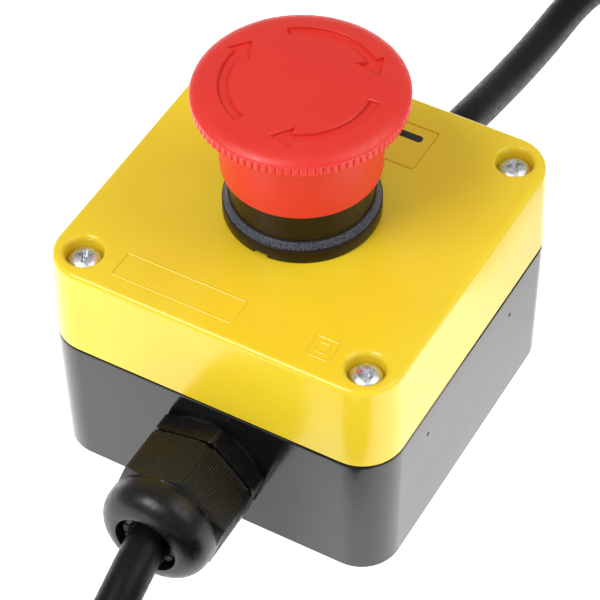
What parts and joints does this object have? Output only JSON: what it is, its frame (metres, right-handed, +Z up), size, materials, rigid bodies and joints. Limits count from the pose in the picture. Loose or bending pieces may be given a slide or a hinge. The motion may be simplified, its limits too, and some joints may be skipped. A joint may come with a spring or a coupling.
{
  "type": "emergency stop button",
  "caption": "Yellow and black enclosure with a red twist-to-release mushroom stop button, contact blocks, cable glands, a coiled lead with a plug and a short lead with a socket.",
  "frame": {"origin": "middle of the case's underside", "axes": "+X along the lid's legend, +Y towards the outlet gland, +Z up along the button's axis"},
  "size_m": [0.1381, 0.3105, 0.0828],
  "materials": {
    "black_case": "glossy black moulded plastic",
    "yellow_lid": "glossy yellow moulded plastic",
    "gasket_rubber": "matt black rubber",
    "zinc_steel": "zinc-plated steel",
    "label_foil": "satin yellow foil",
    "red_button": "satin red moulded plastic",
    "ivory_plastic": "natural moulded plastic",
    "black_plastic": "satin black plastic",
    "grey_plastic": "dark grey moulded plastic",
    "green_plastic": "green moulded plastic",
    "red_block": "red moulded plastic",
    "spring_steel": "bright spring wire",
    "contact_brass": "stamped brass",
    "brown_insulation": "brown wire insulation",
    "blue_insulation": "blue wire insulation",
    "earth_insulation": "green and yellow wire insulation",
    "splice_sleeve": "yellow crimp sleeve",
    "lead_sheath": "black flexible sheath",
    "tie_fabric": "woven hook-and-loop band",
    "connector_rubber": "moulded black rubber",
    "gland_plastic": "glossy black polyamide",
    "nickel_pin": "nickel-plated brass"
  },
  "bodies": {
    "case": {"base": "black_case", "lid": "yellow_lid", "lid_gasket": "gasket_rubber", "lid_screws": "zinc_steel", "legend_label": "label_foil", "latch_cam": "ivory_plastic", "lip_seal": "gasket_rubber", "operator_body": "black_plastic", "bezel_ring": "black_plastic", "panel_gasket": "gasket_rubber", "operator_nut": "grey_plastic", "mount_collar": "grey_plastic", "collar_screws": "zinc_steel", "contact_block_1": "red_block", "contact_block_2": "red_block", "fixed_contacts": "contact_brass", "terminal_screws": "zinc_steel", "terminal_clamps": "zinc_steel", "supply_gland_body": "gland_plastic", "supply_gland_washer": "gasket_rubber", "supply_gland_seal": "gasket_rubber", "supply_gland_nut": "gland_plastic", "supply_gland_locknut": "gland_plastic", "outlet_gland_body": "gland_plastic", "outlet_gland_washer": "gasket_rubber", "outlet_gland_seal": "gasket_rubber", "outlet_gland_nut": "gland_plastic", "outlet_gland_locknut": "gland_plastic", "supply_cord_inner": "lead_sheath", "outlet_cord_inner": "lead_sheath", "brown_lead_in": "brown_insulation", "brown_lead_out": "brown_insulation", "blue_lead_in": "blue_insulation", "blue_lead_out": "blue_insulation", "earth_leads": "earth_insulation", "earth_splice": "splice_sleeve", "supply_cord": "lead_sheath", "supply_coil": "lead_sheath", "coil_tie": "tie_fabric", "outlet_cord": "lead_sheath", "plug_body": "connector_rubber", "plug_pins": "nickel_pin", "plug_earth_clips": "nickel_pin", "socket_body": "connector_rubber", "socket_insert": "black_plastic", "socket_earth_clips": "nickel_pin"},
    "pusher": {"plunger": "ivory_plastic", "pusher_foot": "green_plastic", "return_spring": "spring_steel"},
    "button": {"mushroom_head": "red_button", "spindle": "zinc_steel", "latch_pin": "zinc_steel"},
    "contact_carrier_1": {"contact_plunger_1": "ivory_plastic", "contact_bridge_1": "contact_brass", "contact_spring_1": "spring_steel"},
    "contact_carrier_2": {"contact_plunger_2": "ivory_plastic", "contact_bridge_2": "contact_brass", "contact_spring_2": "spring_steel"}
  },
  "joints": [
    {"name": "button_press", "type": "slide", "parent": "case", "child": "pusher", "axis": [0, 0, -1], "range_m": [0, 0.0055], "stiffness_N_per_m": 900, "springref_m": -0.006, "deforming": ["return_spring"]},
    {"name": "twist_release", "type": "hinge", "parent": "pusher", "child": "button", "pos_m": [0, 0, 0.06], "axis": [0, 0, -1], "range_deg": [0, 30], "stiffness_Nm_per_rad": 0.05, "springref_deg": -5.73},
    {"name": "contact_slide_1", "type": "slide", "parent": "case", "child": "contact_carrier_1", "axis": [0, 0, -1], "range_m": [0, 0.0055], "stiffness_N_per_m": 300, "springref_m": -0.004, "deforming": ["contact_spring_1"]},
    {"name": "contact_slide_2", "type": "slide", "parent": "case", "child": "contact_carrier_2", "axis": [0, 0, -1], "range_m": [0, 0.0055], "stiffness_N_per_m": 300, "springref_m": -0.004, "deforming": ["contact_spring_2"]}
  ],
  "couplings": [
    {"joint": "contact_slide_1", "follows": "button_press", "ratio": 1},
    {"joint": "contact_slide_2", "follows": "button_press", "ratio": 1}
  ]
}
